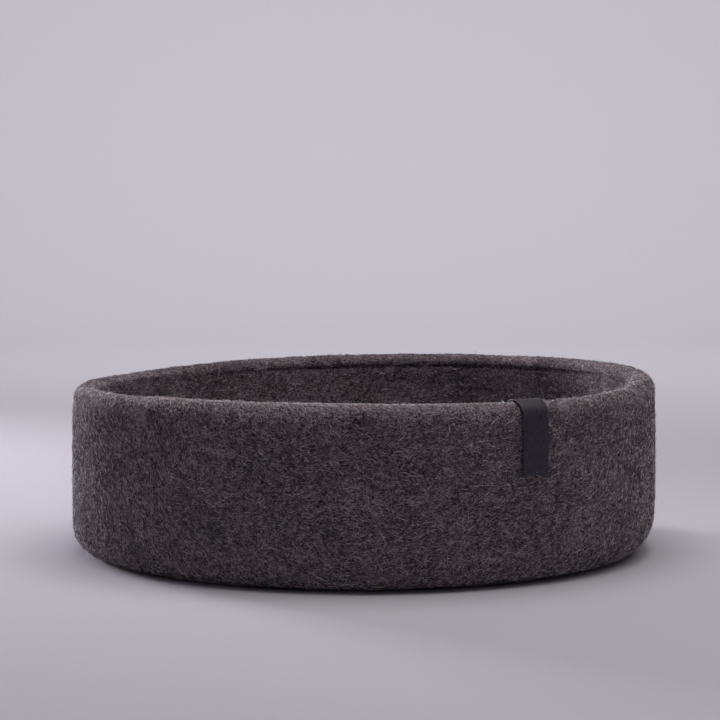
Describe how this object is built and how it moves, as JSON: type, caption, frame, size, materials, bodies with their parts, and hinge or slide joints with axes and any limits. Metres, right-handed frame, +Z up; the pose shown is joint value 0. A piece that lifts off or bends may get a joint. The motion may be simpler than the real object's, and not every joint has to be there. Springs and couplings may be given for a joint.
{
  "type": "felt pet basket",
  "caption": "Round seamless wool felt pet basket with a flat floor, upright wall and turned-in rim, and a bare tape label folded over the rim.",
  "frame": {"origin": "middle of the flat underside, on the surface that the basket stands on", "axes": "+Z up out of the open top, -Y towards the front, +X to the right as seen from the front; the tape label is on the front right"},
  "size_m": [0.5012, 0.5012, 0.1517],
  "materials": {
    "wool_felt": "thick fulled wool felt, dark grey, matted and hairy",
    "label_tape": "black satin-woven tape, bare"
  },
  "bodies": {
    "root": {"felt_bowl": "wool_felt", "rim_label": "label_tape"}
  },
  "joints": []
}
